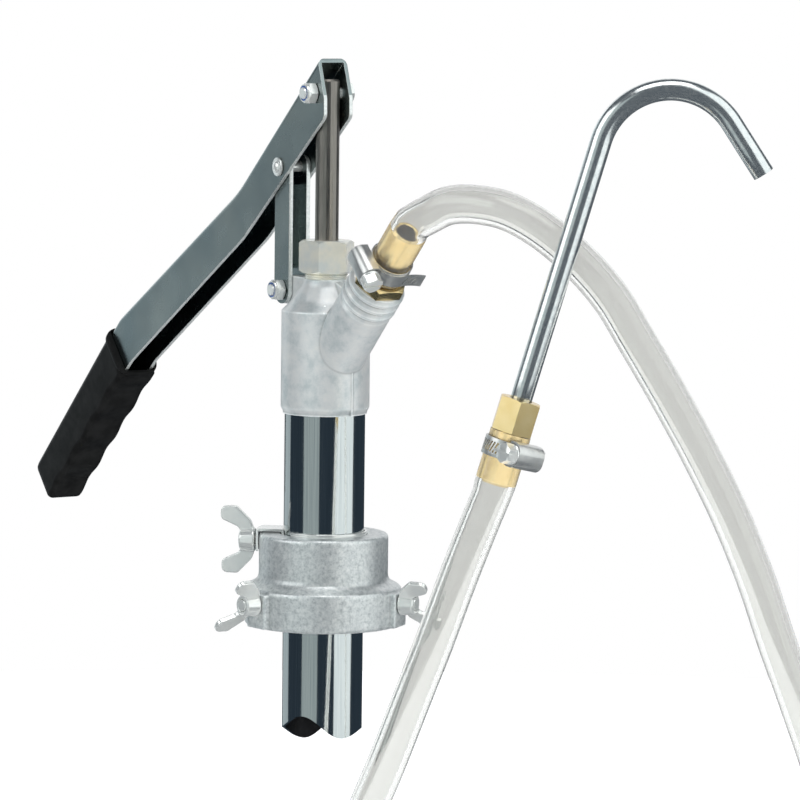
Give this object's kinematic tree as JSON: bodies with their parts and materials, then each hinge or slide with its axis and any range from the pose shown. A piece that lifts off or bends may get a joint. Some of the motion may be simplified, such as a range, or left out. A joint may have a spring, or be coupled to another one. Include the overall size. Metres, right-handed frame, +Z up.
{
  "type": "hand drum pump",
  "caption": "Lever-action hand pump for drums: clamp collar for a bung, plunger tube, forked lever with grip, clear discharge hose and hook spout.",
  "frame": {"origin": "centre of the clamp collar's underside, where it stands on a drum's bung", "axes": "+Z up along the pump tube and rod, +X towards the outlet branch, the lever works in the XZ plane towards -X"},
  "size_m": [0.5274, 0.2443, 0.5741],
  "materials": {
    "cast_zinc": "bead-blasted casting, satin, fine pores",
    "tube_steel": "bright plated tube, near-mirror",
    "channel_steel": "zinc-plated folded sheet, greenish grey, bright cut edges",
    "fastener_steel": "bright zinc plate",
    "rod_steel": "oiled drawn bar, fine lengthwise lines",
    "brass": "turned and milled, semi-bright",
    "grip_rubber": "moulded, satin black",
    "seal_rubber": "matte black",
    "packing": "greased braid",
    "nylon_blue": "moulded nylon",
    "clear_hose": "clear flexible PVC with a faint grey-blue tint"
  },
  "bodies": {
    "root": {"clamp_collar": "cast_zinc", "clamp_clip": "fastener_steel"},
    "pump": {"pump_head": "cast_zinc", "pump_tube": "tube_steel", "tube_seal": "seal_rubber", "gland_packing": "packing", "link_pivot_bolt": "fastener_steel", "link_pivot_nut": "fastener_steel", "link_nut_insert": "nylon_blue", "foot_valve_seat": "brass", "foot_valve_cage": "brass", "outlet_tail": "brass", "outlet_clamp_band": "fastener_steel", "outlet_clamp_housing": "fastener_steel", "hose": "clear_hose", "hose_cuff_outlet": "clear_hose"},
    "foot_ball": {"foot_valve_ball": "fastener_steel"},
    "rod": {"piston_rod": "rod_steel", "piston": "brass", "piston_seal": "seal_rubber", "piston_nut": "fastener_steel", "valve_stop_washer": "fastener_steel", "rod_bolt": "fastener_steel", "rod_nut": "fastener_steel", "rod_nut_insert": "nylon_blue"},
    "piston_valve": {"piston_valve_disc": "seal_rubber"},
    "lever": {"lever": "channel_steel", "lever_grip": "grip_rubber", "fulcrum_rivet": "fastener_steel"},
    "link": {"link": "channel_steel"},
    "stud_1": {"bung_stud_1": "fastener_steel"},
    "stud_2": {"bung_stud_2": "fastener_steel"},
    "stud_3": {"bung_stud_3": "fastener_steel"},
    "wing_1": {"bung_wing_nut_1": "fastener_steel"},
    "wing_2": {"bung_wing_nut_2": "fastener_steel"},
    "wing_3": {"bung_wing_nut_3": "fastener_steel"},
    "tube_stud": {"tube_stud": "fastener_steel"},
    "tube_wing": {"tube_wing_nut": "fastener_steel"},
    "gland_follower": {"gland_follower": "brass"},
    "gland_nut": {"gland_nut": "brass"},
    "outlet_screw": {"outlet_clamp_screw": "fastener_steel"},
    "spout": {"spout_tube": "fastener_steel", "spout_fitting": "brass", "spout_clamp_band": "fastener_steel", "spout_clamp_housing": "fastener_steel", "hose_cuff_spout": "clear_hose"},
    "spout_screw": {"spout_clamp_screw": "fastener_steel"}
  },
  "joints": [
    {"name": "pump_slide", "type": "slide", "parent": "root", "child": "pump", "axis": [0, 0, 1], "range_m": [-0.055, 0.04]},
    {"name": "lever_swing", "type": "hinge", "parent": "rod", "child": "lever", "pos_m": [0, 0, 0.2703], "axis": [0, 1, 0], "range_deg": [0, 67.5]},
    {"name": "rod_stroke", "type": "slide", "parent": "pump", "child": "rod", "axis": [0, 0, 1], "range_m": [-0.0602, 0]},
    {"name": "link_swing", "type": "hinge", "parent": "pump", "child": "link", "pos_m": [-0.0344, 0, 0.1686], "axis": [0, 1, 0], "range_deg": [-12.4, 0]},
    {"name": "foot_ball_lift", "type": "slide", "parent": "pump", "child": "foot_ball", "axis": [0, 0, 1], "range_m": [0, 0.005]},
    {"name": "piston_valve_lift", "type": "slide", "parent": "rod", "child": "piston_valve", "axis": [0, 0, 1], "range_m": [0, 0.0035]},
    {"name": "stud_1_travel", "type": "slide", "parent": "root", "child": "stud_1", "axis": [0.1045, -0.9945, 0], "range_m": [0, 0.0051]},
    {"name": "wing_1_turn", "type": "hinge", "parent": "stud_1", "child": "wing_1", "pos_m": [0.00481, -0.04575, 0.013], "axis": [0.1045, -0.9945, 0], "range_deg": [0, 1800]},
    {"name": "stud_2_travel", "type": "slide", "parent": "root", "child": "stud_2", "axis": [0.809, 0.5878, 0], "range_m": [0, 0.0051]},
    {"name": "wing_2_turn", "type": "hinge", "parent": "stud_2", "child": "wing_2", "pos_m": [0.03721, 0.02704, 0.013], "axis": [0.809, 0.5878, 0], "range_deg": [0, 1800]},
    {"name": "stud_3_travel", "type": "slide", "parent": "root", "child": "stud_3", "axis": [-0.9135, 0.4067, 0], "range_m": [0, 0.0051]},
    {"name": "wing_3_turn", "type": "hinge", "parent": "stud_3", "child": "wing_3", "pos_m": [-0.04202, 0.01871, 0.013], "axis": [-0.9135, 0.4067, 0], "range_deg": [0, 1800]},
    {"name": "tube_stud_travel", "type": "slide", "parent": "root", "child": "tube_stud", "axis": [-0.6157, -0.788, 0], "range_m": [0, 0.0051]},
    {"name": "tube_wing_turn", "type": "hinge", "parent": "tube_stud", "child": "tube_wing", "pos_m": [-0.02463, -0.03152, 0.042], "axis": [-0.6157, -0.788, 0], "range_deg": [0, 1800]},
    {"name": "gland_travel", "type": "slide", "parent": "pump", "child": "gland_follower", "axis": [0, 0, 1], "range_m": [0, 0.0024]},
    {"name": "gland_nut_turn", "type": "hinge", "parent": "gland_follower", "child": "gland_nut", "pos_m": [0, 0, 0.185], "axis": [0, 0, 1], "range_deg": [0, 540]},
    {"name": "outlet_screw_turn", "type": "hinge", "parent": "pump", "child": "outlet_screw", "pos_m": [0.06024, -0.0149, 0.18765], "axis": [0.7071, 0, -0.7071], "continuous": true},
    {"name": "spout_swivel", "type": "hinge", "parent": "pump", "child": "spout", "pos_m": [0.1587, 0.00866, 0.11329], "axis": [0.1486, 0.2377, 0.9599], "range_deg": [-90, 90]},
    {"name": "spout_screw_turn", "type": "hinge", "parent": "spout", "child": "spout_screw", "pos_m": [0.17206, 0.00788, 0.10256], "axis": [0.1213, -0.9677, 0.2209], "continuous": true}
  ],
  "couplings": [
    {"joint": "rod_stroke", "follows": "lever_swing", "m_per_rad": -0.048472},
    {"joint": "link_swing", "follows": "lever_swing", "ratio": -0.17285},
    {"joint": "stud_1_travel", "follows": "wing_1_turn", "m_per_rad": 0.000159},
    {"joint": "stud_2_travel", "follows": "wing_2_turn", "m_per_rad": 0.000159},
    {"joint": "stud_3_travel", "follows": "wing_3_turn", "m_per_rad": 0.000159},
    {"joint": "tube_stud_travel", "follows": "tube_wing_turn", "m_per_rad": 0.000159},
    {"joint": "gland_travel", "follows": "gland_nut_turn", "m_per_rad": 0.0002387}
  ]
}
